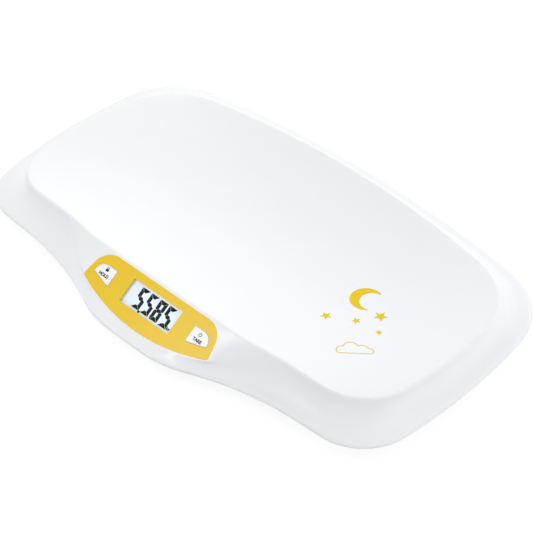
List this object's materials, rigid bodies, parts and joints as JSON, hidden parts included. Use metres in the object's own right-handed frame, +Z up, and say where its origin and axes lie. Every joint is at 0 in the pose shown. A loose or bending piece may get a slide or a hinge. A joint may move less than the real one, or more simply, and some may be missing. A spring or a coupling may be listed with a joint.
{
  "type": "digital baby weighing scale",
  "caption": "Low digital baby scale with a one-piece concave weighing tray, a sloping display console with a window and press keys, and load cells over rubber-soled feet.",
  "frame": {"origin": "under the middle of the scale, on the plane its rubber pads stand on", "axes": "+X along the long side to the right of someone facing the display, -Y towards that person, +Z up"},
  "size_m": [0.58, 0.3619, 0.0541],
  "materials": {
    "shell_white": "glossy white moulded plastic",
    "bezel_yellow": "glossy printed yellow plate",
    "window_clear": "clear window",
    "lcd_glass": "grey-green liquid-crystal cell",
    "frame_white": "satin white moulding",
    "connector_rubber": "soft striped rubber",
    "board_green": "green solder mask",
    "chip_black": "black potting",
    "screw_steel": "zinc-plated steel",
    "key_white": "glossy white with printed signs",
    "switch_black": "black switch body",
    "base_white": "fine-textured white",
    "battery_jacket": "printed jacket of a dry cell",
    "contact_steel": "nickel-plated spring steel",
    "cell_metal": "stamped alloy steel",
    "foot_grey": "satin foot housing",
    "pad_rubber": "anti-slip rubber"
  },
  "bodies": {
    "scale_body": {"tray_shell": "shell_white", "display_bezel": "bezel_yellow", "lcd_window": "window_clear", "lcd_glass": "lcd_glass", "lcd_frame": "frame_white", "lcd_connector": "connector_rubber", "main_board": "board_green", "controller_chip": "chip_black", "lead_header": "frame_white", "board_screws": "screw_steel", "hold_switch": "switch_black", "tare_switch": "switch_black", "base_shell": "base_white", "battery_1": "battery_jacket", "battery_2": "battery_jacket", "battery_3": "battery_jacket", "battery_contacts": "contact_steel", "battery_springs": "contact_steel", "load_cell_screws": "screw_steel", "housing_screws": "screw_steel", "load_cell_front_left": "cell_metal", "load_cell_cover_front_left": "frame_white", "foot_front_left": "foot_grey", "foot_pad_front_left": "pad_rubber", "load_cell_front_right": "cell_metal", "load_cell_cover_front_right": "frame_white", "foot_front_right": "foot_grey", "foot_pad_front_right": "pad_rubber", "load_cell_back_left": "cell_metal", "load_cell_cover_back_left": "frame_white", "foot_back_left": "foot_grey", "foot_pad_back_left": "pad_rubber", "load_cell_back_right": "cell_metal", "load_cell_cover_back_right": "frame_white", "foot_back_right": "foot_grey", "foot_pad_back_right": "pad_rubber"},
    "hold_key": {"hold_button": "key_white", "hold_switch_stem": "switch_black"},
    "tare_key": {"tare_button": "key_white", "tare_switch_stem": "switch_black"},
    "battery_door": {"battery_door": "base_white"}
  },
  "joints": [
    {"name": "hold_button_press", "type": "slide", "parent": "scale_body", "child": "hold_key", "axis": [0, 0.5505, -0.8348], "range_m": [0, 0.0007], "stiffness_N_per_m": 3000},
    {"name": "tare_button_press", "type": "slide", "parent": "scale_body", "child": "tare_key", "axis": [0, 0.5505, -0.8348], "range_m": [0, 0.0007], "stiffness_N_per_m": 3000},
    {"name": "battery_door_hinge", "type": "hinge", "parent": "scale_body", "child": "battery_door", "pos_m": [-0.027, 0.06, 0.0075], "axis": [0, 1, 0], "range_deg": [0, 75]}
  ]
}
